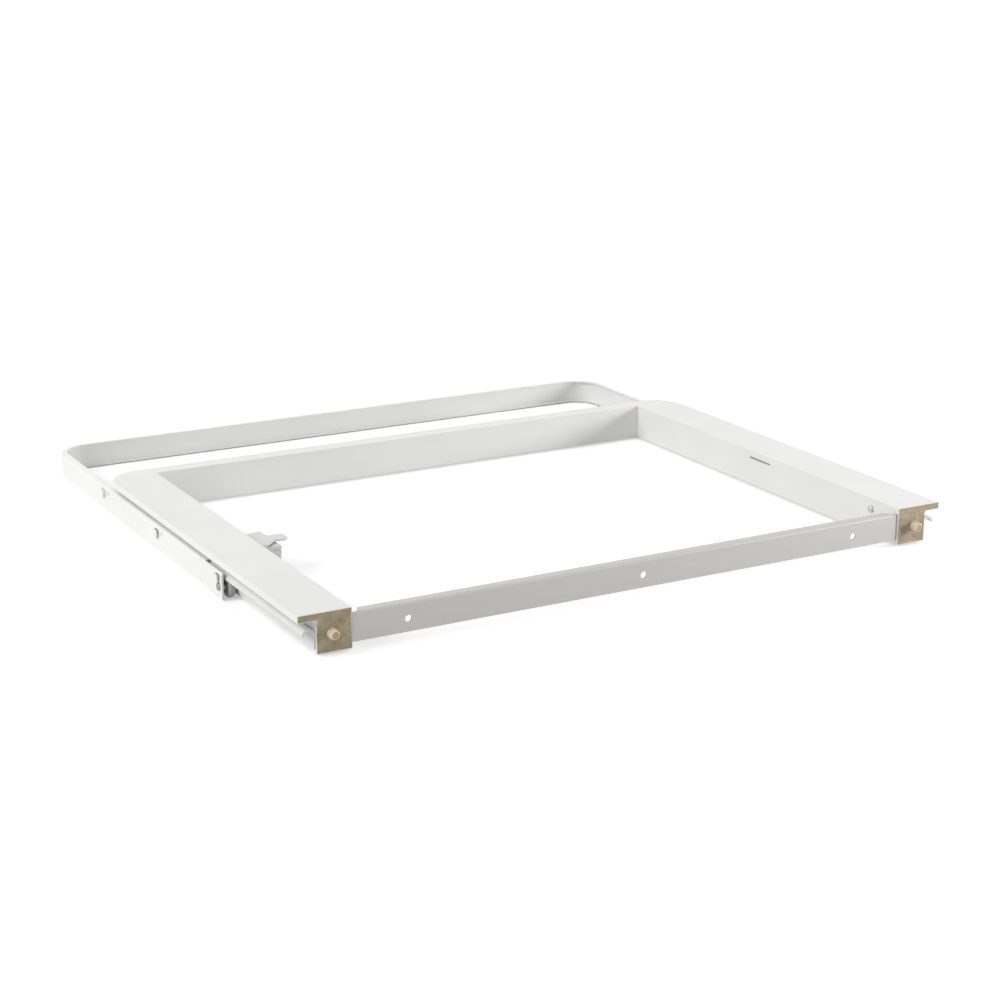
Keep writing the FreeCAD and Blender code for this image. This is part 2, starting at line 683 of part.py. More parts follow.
def make_band():
    """C-section steel band, bent in a U: it hooks into the cabinet and carries the front rollers."""
    body = new_body("outer_band")
    profile = new_sketch(body, "band_section", "XZ_Plane", ("0", "0", "-1 * band_front"))
    draw_outline(profile, [
        ("-1 * band_half", "0", "band_bend_r"),
        ("band_foot_flange - band_half", "0"),
        ("band_foot_flange - band_half", "band_sheet"),
        ("-1 * band_wall", "band_sheet", "band_bend_r - band_sheet"),
        ("-1 * band_wall", "band_height - band_sheet", "band_bend_r - band_sheet"),
        ("band_top_flange - band_half", "band_height - band_sheet"),
        ("band_top_flange - band_half", "band_height"),
        ("-1 * band_half", "band_height", "band_bend_r"),
    ])
    path = new_sketch(body, "band_path", "XY_Plane", ("0", "0", "0"))
    draw_outline(path, [
        ("-1 * band_half", "band_front"),
        ("-1 * band_half", "band_rear", "band_corner_r"),
        ("band_half", "band_rear", "band_corner_r"),
        ("band_half", "band_front"),
    ], closed=False)
    sweep = body.newObject("PartDesign::AdditivePipe", "band")
    sweep.Profile = profile
    sweep.Spine = (path, ["Edge%d" % number for number in range(1, 6)])
    for side in (LEFT, RIGHT):
        word = SIDE_NAMES[side]
        pocket(body, "top_notch_" + word, "XY_Plane", "band_height - band_sheet", "band_sheet",
               box(out(side, "band_half - band_top_flange"), out(side, "band_wall"),
                   "band_front", "band_front + band_top_notch"))
        pocket(body, "foot_notch_" + word, "XY_Plane", "0", "band_bend_r",
               box(out(side, "band_half - band_foot_flange"), out(side, "band_wall"),
                   "band_front", "foot_notch_end"))
        pocket(body, "foot_relief_" + word, "XY_Plane", "0", "foot_relief_height",
               box(out(side, "band_wall"), out(side, "band_half"),
                   "foot_notch_end - foot_relief_length", "foot_notch_end"))
        turn(body, "PartDesign::Groove", "rivet_hole_" + word, "X", ("front_roller_y", "front_roller_z"),
             box(out(side, "band_wall"), out(side, "band_half"), "0", "neck_r + snug"))
        hooks = [("front", "front_roller_y - front_hook_ahead", "front_hook_length",
                  "front_roller_z + rivet_head_d / 2 + front_hook_above_head", "front_hook_height")]
        for number in range(2):
            front = "band_front + hook_mid_setback + %d * hook_pitch - hook_length / 2" % number
            hooks.append(("%d" % number, front, "hook_length",
                          "band_height - hook_drop - hook_height / 2", "hook_height"))
            turn(body, "PartDesign::Groove", "sight_hole_%s_%d" % (word, number), "X",
                 (front + " + hook_length / 2 - sight_hole_before_hook", "band_height - sight_hole_drop"),
                 box(out(side, "band_wall"), out(side, "band_half"), "0", "sight_hole_d / 2"))
        for name, front, length, foot, tall in hooks:
            window = box(out(side, "band_wall"), out(side, "band_half"),
                         front + " + hook_window_inset", "%s + %s" % (front, length))
            pocket(body, "window_%s_%s" % (word, name), "XY_Plane", foot, tall, window)
            pad(body, "hook_%s_%s" % (word, name), "XY_Plane", foot, tall, hook_outline(side, front, length))
    return body


def make_catch():
    """Plastic catch: a tongue in the left board's slot, a plate with a nose and a stepped body below it."""
    body = new_body("basket_catch")
    wall = "-1 * inner_half"
    front = "slot_setback"
    tongue = box(wall + " - slot_depth + tongue_end_gap", wall,
                 front + " + tongue_end_gap", front + " + slot_length - tongue_end_gap")
    pad(body, "tongue", "XY_Plane", "plate_z", "plate_thick", tongue)
    nose_front = front + " + catch_nose_front"
    nose_rear = nose_front + " + catch_nose_width"
    plate = [
        (wall, front),
        (wall + " + catch_neck", front),
        (wall + " + catch_plate_reach + catch_notch", nose_front + " + catch_notch"),
        (wall + " + catch_nose_reach - catch_nose_corner", nose_front),
        (wall + " + catch_nose_reach", nose_front + " + catch_nose_corner"),
        (wall + " + catch_nose_reach", nose_rear + " - catch_nose_corner"),
        (wall + " + catch_nose_reach - catch_nose_corner", nose_rear),
        (wall + " + catch_plate_reach + catch_notch", nose_rear + " - catch_notch"),
        (wall + " + catch_plate_reach", nose_rear + " + catch_nose_corner"),
        (wall + " + catch_plate_reach", front + " + catch_plate_length"),
        (wall, front + " + catch_plate_length - catch_plate_slant"),
    ]
    pad(body, "plate", "XY_Plane", "plate_z", "plate_thick", plate)
    pad(body, "lower_body", "XY_Plane", "catch_body_foot", "catch_body_height",
        box(wall, wall + " + catch_body_reach", front, front + " + catch_body_length"))
    pad(body, "neck", "XY_Plane", "catch_body_top", "catch_body_drop",
        box(wall, wall + " + catch_neck", front, front + " + catch_body_length"))
    strip = box(wall, wall + " + catch_body_reach", front, front + " + catch_step")
    pocket(body, "groove", "XY_Plane", "catch_body_top - catch_lid - catch_groove", "catch_groove", strip)
    pocket(body, "lower_step", "XY_Plane", "catch_body_foot",
           "catch_body_height - catch_lid - catch_groove - catch_band", strip)
    return body


def side_pieces(side):
    """The pieces that the left and the right side have alike."""
    word = SIDE_NAMES[side]
    pieces = [make_side_board(side), make_front_dowel(side), make_stud(side)]
    pieces += [make_slide_rail(side), make_slide_screws(side)]
    pieces.append(make_roller("front_roller_" + word, side, "front_roller_out", "front_roller_in",
                              "front_roller_r", "front_tread_r", "front_roller_y", "front_roller_z"))
    pieces.append(make_rivet("front_roller_rivet_" + word, side, "band_wall", "band_sheet",
                             "front_roller_out", "front_roller_in", "front_roller_y", "front_roller_z"))
    pieces.append(make_roller("rear_roller_" + word, side, "rear_roller_in", "rear_roller_out",
                              "rear_roller_r", "rear_tread_r", "rear_roller_y", "rear_roller_z"))
    pieces.append(make_rivet("rear_roller_rivet_" + word, side, "slide_web", "slide_sheet",
                             "rear_roller_in", "rear_roller_out", "rear_roller_y", "rear_roller_z"))
    return pieces


def check_piece(body):
    """Stops if a feature failed or changed nothing, or if the finished piece isn't sound."""
    before = 0.0
    for item in body.Group:
        if "Invalid" in item.State or "Error" in item.State:
            raise RuntimeError("%s of %s failed" % (item.Name, body.Label))
        if item.isDerivedFrom("PartDesign::Feature"):
            after = item.Shape.Volume
            if abs(after - before) < 1e-6:
                raise RuntimeError("%s of %s changes nothing" % (item.Name, body.Label))
            before = after
    if body.Shape.isNull() or not body.Shape.isValid():
        raise RuntimeError("%s isn't a sound solid" % body.Label)


pieces = [make_band(), make_back_board(), make_joint_dowels()]
pieces += [make_front_rail(), make_rail_screws(), make_catch()]
for hand in (LEFT, RIGHT):
    pieces += side_pieces(hand)
doc.recompute()
for item in doc.Objects:
    if "Invalid" in item.State or "Error" in item.State:
        raise RuntimeError("%s failed" % item.Name)
for piece in pieces:
    check_piece(piece)
os.makedirs("parts", exist_ok=True)
for piece in pieces:
    piece.Shape.exportStep(os.path.join("parts", piece.Label + ".step"))
    print("%-28s %2d solid(s) %12.1f mm3" % (piece.Label, len(piece.Shape.Solids), piece.Shape.Volume))
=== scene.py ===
import json
import math

import bmesh
import bpy
from mathutils import Matrix, Vector

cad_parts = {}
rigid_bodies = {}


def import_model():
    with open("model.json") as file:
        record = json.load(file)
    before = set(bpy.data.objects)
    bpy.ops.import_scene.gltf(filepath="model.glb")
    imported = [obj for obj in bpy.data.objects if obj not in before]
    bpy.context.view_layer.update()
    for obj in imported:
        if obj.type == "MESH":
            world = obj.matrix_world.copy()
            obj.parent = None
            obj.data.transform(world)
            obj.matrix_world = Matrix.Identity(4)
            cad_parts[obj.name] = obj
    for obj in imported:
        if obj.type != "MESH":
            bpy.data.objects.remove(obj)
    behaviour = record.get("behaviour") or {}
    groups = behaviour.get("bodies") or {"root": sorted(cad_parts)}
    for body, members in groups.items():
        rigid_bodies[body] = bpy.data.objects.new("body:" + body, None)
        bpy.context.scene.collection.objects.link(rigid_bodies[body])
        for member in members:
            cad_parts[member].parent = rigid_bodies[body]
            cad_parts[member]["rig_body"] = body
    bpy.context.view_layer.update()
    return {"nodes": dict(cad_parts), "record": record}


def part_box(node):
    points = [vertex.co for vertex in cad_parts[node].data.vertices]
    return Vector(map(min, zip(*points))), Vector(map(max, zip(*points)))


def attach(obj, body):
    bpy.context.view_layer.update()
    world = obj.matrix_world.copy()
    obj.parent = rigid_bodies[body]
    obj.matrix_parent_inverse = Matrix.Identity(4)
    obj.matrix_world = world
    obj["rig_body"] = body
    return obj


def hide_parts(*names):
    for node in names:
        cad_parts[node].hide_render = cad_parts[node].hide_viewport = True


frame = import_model()

MM = 0.001
# Nearer than a hair counts as the same place.
HAIR = 0.01 * MM
STRAP_SHEET = 1.5 * MM
SMALL_FACE = 15 * MM ** 2
SHARP_EDGE = math.radians(32)
SMOOTH_BELOW = math.radians(35)
# Shares of a normal of length 1: a face that looks one way has more than FACING of it that way,
# and an upright face has less than UPRIGHT of it up or down.
FACING, UPRIGHT = 0.99, 0.1
SECOND_FINISH = 1
SIDES = ("left", "right")
OUTWARD, INWARD = 1, -1
SLOTS = {part["node"]: part["material_slot"] for part in frame["record"]["subparts"]}
BOARD_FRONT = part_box("side_board_left")[0].y

# A Mix node has one set of sockets for plain values and one for colours, told apart by number.
VALUE_A, VALUE_B, MIXED_VALUE = 2, 3, 0
COLOUR_A, COLOUR_B, MIXED_COLOUR = 6, 7, 2


def linear(code):
    """Turns an sRGB hex colour into the linear values that a shader takes."""
    parts = [int(code[i:i + 2], 16) / 255 for i in (1, 3, 5)]
    return tuple(p / 12.92 if p <= 0.04045 else ((p + 0.055) / 1.055) ** 2.4 for p in parts) + (1,)


def add(tree, kind, inputs, stops=(), **settings):
    """Adds one node. Each input takes a value, or the socket that feeds it. Stops are the places and colours
    of a colour ramp's two ends."""
    node = tree.nodes.new("ShaderNode" + kind)
    for name, value in settings.items():
        setattr(node, name, value)
    for end, (position, code) in enumerate(stops):
        node.color_ramp.elements[end].position = position
        node.color_ramp.elements[end].color = linear(code)
    for socket, value in inputs.items():
        if isinstance(value, bpy.types.NodeSocket):
            tree.links.new(value, node.inputs[socket])
        else:
            node.inputs[socket].default_value = value
    return node


def new_material(name):
    """A material with a bare Principled shader, the object's own coordinates and its node tree."""
    material = bpy.data.materials.new(name)
    material.use_nodes = True
    tree = material.node_tree
    place = add(tree, "TexCoord", {}).outputs["Object"]
    return material, tree, tree.nodes["Principled BSDF"], place


def edge_wear(tree, radius):
    """1 on an edge and 0 on a flat face: how far the rounded normal turns from the real one."""
    rounded = add(tree, "Bevel", {"Radius": radius}, samples=6).outputs["Normal"]
    facing = add(tree, "NewGeometry", {}).outputs["Normal"]
    match = add(tree, "VectorMath", {0: rounded, 1: facing}, operation="DOT_PRODUCT").outputs["Value"]
    # cosines: the wear begins at a turn of 6 degrees and is full at 37
    return add(tree, "MapRange", {"Value": match, "From Min": 0.995, "From Max": 0.8}).outputs["Result"]


def white_foil():
    """White foil pressed on board: a fine pearl grain breaks up the sheen, handled edges are greyer."""
    material, tree, shader, place = new_material("white_melamine_foil")
    cloud_width = 71.4 * MM
    # the real grain is about 0.5 mm, drawn twice as coarse so that it shows
    pearl_width = 1.11 * MM
    cloud = add(tree, "TexNoise", {"Vector": place, "Scale": 1 / cloud_width, "Detail": 3}).outputs["Fac"]
    shades = ((0.35, "#EAEAE8"), (0.65, "#EEEEED"))
    tint = add(tree, "ValToRGB", {"Fac": cloud}, stops=shades).outputs["Color"]
    wear = edge_wear(tree, radius=0.8 * MM)
    worn = add(tree, "Mix", {"Factor": wear, COLOUR_A: tint, COLOUR_B: linear("#DEDDD9")}, data_type="RGBA")
    tree.links.new(worn.outputs[MIXED_COLOUR], shader.inputs["Base Color"])
    pearl = add(tree, "TexNoise", {"Vector": place, "Scale": 1 / pearl_width, "Detail": 2}).outputs["Fac"]
    sheen = add(tree, "MapRange", {"Value": pearl, "To Min": 0.38, "To Max": 0.52}).outputs["Result"]
    tree.links.new(sheen, shader.inputs["Roughness"])
    bump = add(tree, "Bump", {"Height": pearl, "Strength": 0.12, "Distance": 0.05 * MM}).outputs["Normal"]
    tree.links.new(bump, shader.inputs["Normal"])
    return material


def raw_chipboard():
    """Sawn end of fine chipboard: pressed brown wood dust, matt, with soft clouds and pale and dark grit."""
    material, tree, shader, place = new_material("raw_chipboard_end")
    # grit of 1.4 mm and finer, and clouds of 11 mm where the board was pressed unevenly
    grit_width, cloud_width = 1.43 * MM, 11.1 * MM
    grit = add(tree, "TexNoise", {"Vector": place, "Scale": 1 / grit_width, "Detail": 4,
                                  "Roughness": 0.6}).outputs["Fac"]
    cloud = add(tree, "TexNoise", {"Vector": place, "Scale": 1 / cloud_width, "Detail": 2}).outputs["Fac"]
    both = add(tree, "Mix", {"Factor": 0.55, VALUE_A: grit, VALUE_B: cloud}).outputs[MIXED_VALUE]
    shades = ((0.36, "#93846D"), (0.64, "#BAAC92"))
    tint = add(tree, "ValToRGB", {"Fac": both}, stops=shades).outputs["Color"]
    tree.links.new(tint, shader.inputs["Base Color"])
    shader.inputs["Roughness"].default_value = 0.85
    bump = add(tree, "Bump", {"Height": grit, "Strength": 0.4, "Distance": 0.1 * MM}).outputs["Normal"]
    tree.links.new(bump, shader.inputs["Normal"])
    return material


def white_powder_coat():
    """White powder coat on sheet steel: a soft orange peel, thinner and greyer along the edges."""
    material, tree, shader, place = new_material("white_powder_coated_steel")
    cloud_width = 111 * MM
    # orange peel as wide as on the real coat
    peel_width = 1.43 * MM
    cloud = add(tree, "TexNoise", {"Vector": place, "Scale": 1 / cloud_width, "Detail": 2}).outputs["Fac"]
    shades = ((0.35, "#ECECEB"), (0.65, "#F0F0EF"))
    tint = add(tree, "ValToRGB", {"Fac": cloud}, stops=shades).outputs["Color"]
    wear = edge_wear(tree, radius=0.35 * MM)
    worn = add(tree, "Mix", {"Factor": wear, COLOUR_A: tint, COLOUR_B: linear("#DCDCDA")}, data_type="RGBA")
    tree.links.new(worn.outputs[MIXED_COLOUR], shader.inputs["Base Color"])
    peel = add(tree, "TexNoise", {"Vector": place, "Scale": 1 / peel_width, "Detail": 1}).outputs["Fac"]
    sheen = add(tree, "MapRange", {"Value": peel, "To Min": 0.26, "To Max": 0.38}).outputs["Result"]
    tree.links.new(sheen, shader.inputs["Roughness"])
    bump = add(tree, "Bump", {"Height": peel, "Strength": 0.15, "Distance": 0.04 * MM}).outputs["Normal"]
    tree.links.new(bump, shader.inputs["Normal"])
    return material


def painted_edge_shade():
    """Painted shade on the strap's foot flange: its upright edge faces are dark grey in patches, paler where
    rounded.
    """
    material, tree, shader, place = new_material("band_edge_painted_shade")
    patch_width = 4.55 * MM
    patches = add(tree, "TexNoise", {"Vector": place, "Scale": 1 / patch_width, "Detail": 3}).outputs["Fac"]
    shades = ((0.35, "#9C9C9B"), (0.65, "#ACACAB"))
    tint = add(tree, "ValToRGB", {"Fac": patches}, stops=shades).outputs["Color"]
    wear = edge_wear(tree, radius=0.2 * MM)
    worn = add(tree, "Mix", {"Factor": wear, COLOUR_A: tint, COLOUR_B: linear("#C2C2C1")}, data_type="RGBA")
    tree.links.new(worn.outputs[MIXED_COLOUR], shader.inputs["Base Color"])
    shader.inputs["Metallic"].default_value = 0.3
    sheen = add(tree, "MapRange", {"Value": patches, "To Min": 0.5, "To Max": 0.65}).outputs["Result"]
    tree.links.new(sheen, shader.inputs["Roughness"])
    bump = add(tree, "Bump", {"Height": patches, "Strength": 0.2, "Distance": 0.05 * MM}).outputs["Normal"]
    tree.links.new(bump, shader.inputs["Normal"])
    return material


def white_rail_lacquer():
    """White stove lacquer on the rolled slide rails: duller than the band, with faint lines along them."""
    material, tree, shader, place = new_material("white_stove_lacquered_steel")
    cloud_width = 83.3 * MM
    # rolling lines are about 0.2 mm wide, drawn coarser so that they show
    line_width, line_length = 1.11 * MM, 125 * MM
    cloud = add(tree, "TexNoise", {"Vector": place, "Scale": 1 / cloud_width, "Detail": 2}).outputs["Fac"]
    shades = ((0.35, "#DEDEDD"), (0.65, "#E3E3E2"))
    tint = add(tree, "ValToRGB", {"Fac": cloud}, stops=shades).outputs["Color"]
    wear = edge_wear(tree, radius=0.35 * MM)
    worn = add(tree, "Mix", {"Factor": wear, COLOUR_A: tint, COLOUR_B: linear("#CFCFCD")}, data_type="RGBA")
    tree.links.new(worn.outputs[MIXED_COLOUR], shader.inputs["Base Color"])
    stretch = (1 / line_width, 1 / line_length, 1 / line_width)
    along = add(tree, "Mapping", {"Vector": place, "Scale": stretch}).outputs["Vector"]
    drawn = add(tree, "TexNoise", {"Vector": along, "Scale": 1, "Detail": 2}).outputs["Fac"]
    sheen = add(tree, "MapRange", {"Value": drawn, "To Min": 0.4, "To Max": 0.52}).outputs["Result"]
    tree.links.new(sheen, shader.inputs["Roughness"])
    bump = add(tree, "Bump", {"Height": drawn, "Strength": 0.06, "Distance": 0.03 * MM}).outputs["Normal"]
    tree.links.new(bump, shader.inputs["Normal"])
    return material


def satin_rail_steel():
    """Rolled sheet in aluminium-coloured lacquer: a soft metallic sheen, faint rolling lines along it."""
    material, tree, shader, place = new_material("aluminium_lacquered_steel")
    # rolling lines are about 0.2 mm wide, drawn coarser so that they show
    line_width, line_length = 1.11 * MM, 200 * MM
    stretch = (1 / line_length, 1 / line_width, 1 / line_width)
    along = add(tree, "Mapping", {"Vector": place, "Scale": stretch}).outputs["Vector"]
    lines = add(tree, "TexNoise", {"Vector": along, "Scale": 1, "Detail": 3}).outputs["Fac"]
    shades = ((0.3, "#C3C1C0"), (0.7, "#C6C4C3"))
    tint = add(tree, "ValToRGB", {"Fac": lines}, stops=shades).outputs["Color"]
    wear = edge_wear(tree, radius=0.3 * MM)
    worn = add(tree, "Mix", {"Factor": wear, COLOUR_A: tint, COLOUR_B: linear("#DADAD9")}, data_type="RGBA")
    tree.links.new(worn.outputs[MIXED_COLOUR], shader.inputs["Base Color"])
    shader.inputs["Metallic"].default_value = 0.3
    sheen = add(tree, "MapRange", {"Value": lines, "To Min": 0.54, "To Max": 0.62}).outputs["Result"]
    tree.links.new(sheen, shader.inputs["Roughness"])
    bump = add(tree, "Bump", {"Height": lines, "Strength": 0.04, "Distance": 0.02 * MM}).outputs["Normal"]
    tree.links.new(bump, shader.inputs["Normal"])
    return material


def zinc_plate():
    """Zinc-plated steel: bluish grey metal, cloudy where the plating took unevenly, brighter on the edges."""
    material, tree, shader, place = new_material("zinc_plated_steel")
    cloud_width = 2 * MM
    cloud = add(tree, "TexNoise", {"Vector": place, "Scale": 1 / cloud_width, "Detail": 3}).outputs["Fac"]
    shades = ((0.3, "#B6B8BA"), (0.7, "#D3D5D6"))
    tint = add(tree, "ValToRGB", {"Fac": cloud}, stops=shades).outputs["Color"]
    wear = edge_wear(tree, radius=0.25 * MM)
    bright = add(tree, "Mix", {"Factor": wear, COLOUR_A: tint, COLOUR_B: linear("#DCDEE0")}, data_type="RGBA")
    tree.links.new(bright.outputs[MIXED_COLOUR], shader.inputs["Base Color"])
    shader.inputs["Metallic"].default_value = 1
    sheen = add(tree, "MapRange", {"Value": cloud, "To Min": 0.25, "To Max": 0.4}).outputs["Result"]
    tree.links.new(sheen, shader.inputs["Roughness"])
    bump = add(tree, "Bump", {"Height": cloud, "Strength": 0.1, "Distance": 0.03 * MM}).outputs["Normal"]
    tree.links.new(bump, shader.inputs["Normal"])
    return material


def shade_darkened_zinc():
    """Rivets: zinc plate painted darker to stand in for shade, in blotches of about 2 mm."""
    material, tree, shader, place = new_material("zinc_steel_painted_shade")
    blotch_width = 2.22 * MM
    blotches = add(tree, "TexNoise", {"Vector": place, "Scale": 1 / blotch_width, "Detail": 3}).outputs["Fac"]
    shades = ((0.3, "#808183"), (0.7, "#A8A9AB"))
    tint = add(tree, "ValToRGB", {"Fac": blotches}, stops=shades).outputs["Color"]
    wear = edge_wear(tree, radius=0.3 * MM)
    bright = add(tree, "Mix", {"Factor": wear, COLOUR_A: tint, COLOUR_B: linear("#B9BABC")}, data_type="RGBA")
    tree.links.new(bright.outputs[MIXED_COLOUR], shader.inputs["Base Color"])
    shader.inputs["Metallic"].default_value = 1
    sheen = add(tree, "MapRange", {"Value": blotches, "To Min": 0.3, "To Max": 0.45}).outputs["Result"]
    tree.links.new(sheen, shader.inputs["Roughness"])
    bump = add(tree, "Bump", {"Height": blotches, "Strength": 0.2, "Distance": 0.05 * MM}).outputs["Normal"]
    tree.links.new(bump, shader.inputs["Normal"])
    return material


def beech_wood():
    """Turned beech: pale yellow brown with short darker flecks along the grain, slightly rough, no gloss."""
    material, tree, shader, place = new_material("beech")
    # The grain runs front to back, as the front dowels do. Real flecks are 1 to 4 mm long and a fraction
    # of that wide, drawn wider so that they show.
    fleck_width, fleck_length = 0.714 * MM, 4.46 * MM
    stretch = (1 / fleck_width, 1 / fleck_length, 1 / fleck_width)
    along = add(tree, "Mapping", {"Vector": place, "Scale": stretch}).outputs["Vector"]
    grain = add(tree, "TexNoise", {"Vector": along, "Scale": 1, "Detail": 4, "Roughness": 0.6}).outputs["Fac"]
    shades = ((0.32, "#D3C2A4"), (0.6, "#EFE4CC"))
    tint = add(tree, "ValToRGB", {"Fac": grain}, stops=shades).outputs["Color"]
    tree.links.new(tint, shader.inputs["Base Color"])
    shader.inputs["Roughness"].default_value = 0.7
    bump = add(tree, "Bump", {"Height": grain, "Strength": 0.3, "Distance": 0.05 * MM}).outputs["Normal"]
    tree.links.new(bump, shader.inputs["Normal"])
    return material


def beech_end_grain():
    """Sawn end of the beech dowel: darker than its side, with fine pores."""
    material, tree, shader, place = new_material("beech_end_grain")
    # real pores are about 0.1 mm, drawn coarser so that they show
    pore_spacing = 0.556 * MM
    pores = add(tree, "TexVoronoi", {"Vector": place, "Scale": 1 / pore_spacing}).outputs["Distance"]
    shades = ((0.1, "#98866A"), (0.5, "#BDAA87"))
    tint = add(tree, "ValToRGB", {"Fac": pores}, stops=shades).outputs["Color"]
    tree.links.new(tint, shader.inputs["Base Color"])
    shader.inputs["Roughness"].default_value = 0.8
    bump = add(tree, "Bump", {"Height": pores, "Strength": 0.3, "Distance": 0.05 * MM}).outputs["Normal"]
    tree.links.new(bump, shader.inputs["Normal"])
    return material


def grey_acetal():
    """Moulded grey acetal of the rollers: a waxy sheen, faint flow clouds, edges rubbed paler."""
    material, tree, shader, place = new_material("grey_acetal")
    cloud_width = 2.86 * MM
    # the mould's skin has bumps of about 0.2 mm, drawn coarser so that they show
    skin_width = 0.667 * MM
    cloud = add(tree, "TexNoise", {"Vector": place, "Scale": 1 / cloud_width, "Detail": 3}).outputs["Fac"]
    shades = ((0.3, "#A2A2A2"), (0.7, "#AFAFAF"))
    tint = add(tree, "ValToRGB", {"Fac": cloud}, stops=shades).outputs["Color"]
    wear = edge_wear(tree, radius=0.4 * MM)
    rubbed = add(tree, "Mix", {"Factor": wear, COLOUR_A: tint, COLOUR_B: linear("#BDBDBC")}, data_type="RGBA")
    tree.links.new(rubbed.outputs[MIXED_COLOUR], shader.inputs["Base Color"])
    shader.inputs["IOR"].default_value = 1.48
    skin = add(tree, "TexNoise", {"Vector": place, "Scale": 1 / skin_width, "Detail": 2}).outputs["Fac"]
    sheen = add(tree, "MapRange", {"Value": skin, "To Min": 0.32, "To Max": 0.45}).outputs["Result"]
    tree.links.new(sheen, shader.inputs["Roughness"])
    bump = add(tree, "Bump", {"Height": skin, "Strength": 0.1, "Distance": 0.02 * MM}).outputs["Normal"]
    tree.links.new(bump, shader.inputs["Normal"])
    return material


def grey_nylon():
    """Moulded light grey nylon of the catch: a satin spark-eroded skin, faint flow marks, paler edges."""
    material, tree, shader, place = new_material("light_grey_nylon")
    flow_width = 6.25 * MM
    # the mould's skin has bumps of about 0.2 mm, drawn coarser so that they show
    skin_width = 0.667 * MM
    flow = add(tree, "TexNoise", {"Vector": place, "Scale": 1 / flow_width, "Detail": 3}).outputs["Fac"]
    shades = ((0.3, "#D5D5D4"), (0.7, "#DBDBDA"))
    tint = add(tree, "ValToRGB", {"Fac": flow}, stops=shades).outputs["Color"]
    wear = edge_wear(tree, radius=0.4 * MM)
    rubbed = add(tree, "Mix", {"Factor": wear, COLOUR_A: tint, COLOUR_B: linear("#E8E8E7")}, data_type="RGBA")
    tree.links.new(rubbed.outputs[MIXED_COLOUR], shader.inputs["Base Color"])
    shader.inputs["IOR"].default_value = 1.53
    skin = add(tree, "TexNoise", {"Vector": place, "Scale": 1 / skin_width, "Detail": 2}).outputs["Fac"]
    sheen = add(tree, "MapRange", {"Value": skin, "To Min": 0.36, "To Max": 0.5}).outputs["Result"]
    tree.links.new(sheen, shader.inputs["Roughness"])
    bump = add(tree, "Bump", {"Height": skin, "Strength": 0.15, "Distance": 0.03 * MM}).outputs["Normal"]
    tree.links.new(bump, shader.inputs["Normal"])
    return material


FINISHES = {
    "white_board": white_foil(),
    "white_steel": white_powder_coat(),
    "rail_steel": satin_rail_steel(),
    "zinc_steel": zinc_plate(),
    "beech": beech_wood(),
    "roller_plastic": grey_acetal(),
    "catch_plastic": grey_nylon(),
}
RAIL_LACQUER = white_rail_lacquer()
# zinc painted darker, as shade on the rivet heads
SHADE_DARKENED_ZINC = shade_darkened_zinc()
RAW_END = raw_chipboard()
END_GRAIN = beech_end_grain()
# dark grey painted shade for the band's bottom edge
EDGE_PAINTED_SHADE = painted_edge_shade()


def joined_copy(node):
    """A node's shape as a working mesh: its split points joined and its flat faces whole again."""
    join_within, flat_within = 0.002 * MM, math.radians(0.3)
    mesh = bmesh.new()
    mesh.from_mesh(frame["nodes"][node].data)
    bmesh.ops.remove_doubles(mesh, verts=mesh.verts, dist=join_within)
    bmesh.ops.dissolve_limit(mesh, angle_limit=flat_within, verts=mesh.verts, edges=mesh.edges)
    return mesh


def ease_edges(mesh, width, least_face=0.0, least_edge=0.0, keep=None):
    """Rounds the sharp edges, save those that are too short, bound too small a face or that keep() names."""
    sharp = []
    for edge in mesh.edges:
        if len(edge.link_faces) != 2 or edge.calc_face_angle(0) < SHARP_EDGE:
            continue
        if edge.calc_length() < least_edge or min(face.calc_area() for face in edge.link_faces) < least_face:
            continue
        if keep and keep(edge):
            continue
        sharp.append(edge)
    bmesh.ops.bevel(mesh, geom=sharp, offset=width, segments=2, profile=0.5, affect="EDGES",
                    clamp_overlap=False)


def shade_evenly(piece):
    """Keeps hard edges hard, and lets the large faces set the shading of the eased ones."""
    piece.data.set_sharp_from_angle(angle=SMOOTH_BELOW)
    even = piece.modifiers.new("even_shading", "WEIGHTED_NORMAL")
    even.keep_sharp = True


def finish_piece(mesh, name, node, finishes):
    """Makes the working mesh a piece that stands for the node, on its body and with its finish."""
    bmesh.ops.recalc_face_normals(mesh, faces=mesh.faces)
    data = bpy.data.meshes.new(name)
    mesh.to_mesh(data)
    mesh.free()
    data.shade_smooth()
    for finish in finishes:
        data.materials.append(finish)
    piece = bpy.data.objects.new(name, data)
    bpy.context.scene.collection.objects.link(piece)
    shade_evenly(piece)
    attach(piece, frame["nodes"][node]["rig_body"])
    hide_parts(node)
    return piece


def at_front(edge):
    """Whether an edge lies in the sawn front end of a board."""
    return all(abs(point.co.y - BOARD_FRONT) < HAIR for point in edge.verts)


def wrap_side_board(side):
    """Foil-wrapped side board. Its sawn front end lies just behind the foil's cut edge."""
    foil_rounding, foil_edge, sawn_back = 0.45 * MM, 0.4 * MM, 0.15 * MM
    node = "side_board_" + side
    mesh = joined_copy(node)
    ease_edges(mesh, foil_rounding, least_face=SMALL_FACE, keep=at_front)
    mesh.normal_update()
    end = [face for face in mesh.faces
           if face.normal.y < -FACING and abs(face.calc_center_median().y - BOARD_FRONT) < HAIR]
    bmesh.ops.inset_region(mesh, faces=end, thickness=foil_edge, depth=-sawn_back, use_even_offset=True)
    for face in end:
        face.material_index = SECOND_FINISH
    finish_piece(mesh, "foiled_side_board_" + side, node, [FINISHES["white_board"], RAW_END])


def wrap_cross_board():
    """Foil-wrapped cross board at the back, its long edges eased."""
    mesh = joined_copy("back_board")
    ease_edges(mesh, 0.3 * MM, least_face=SMALL_FACE)
    finish_piece(mesh, "foiled_cross_board", "back_board", [FINISHES["white_board"]])


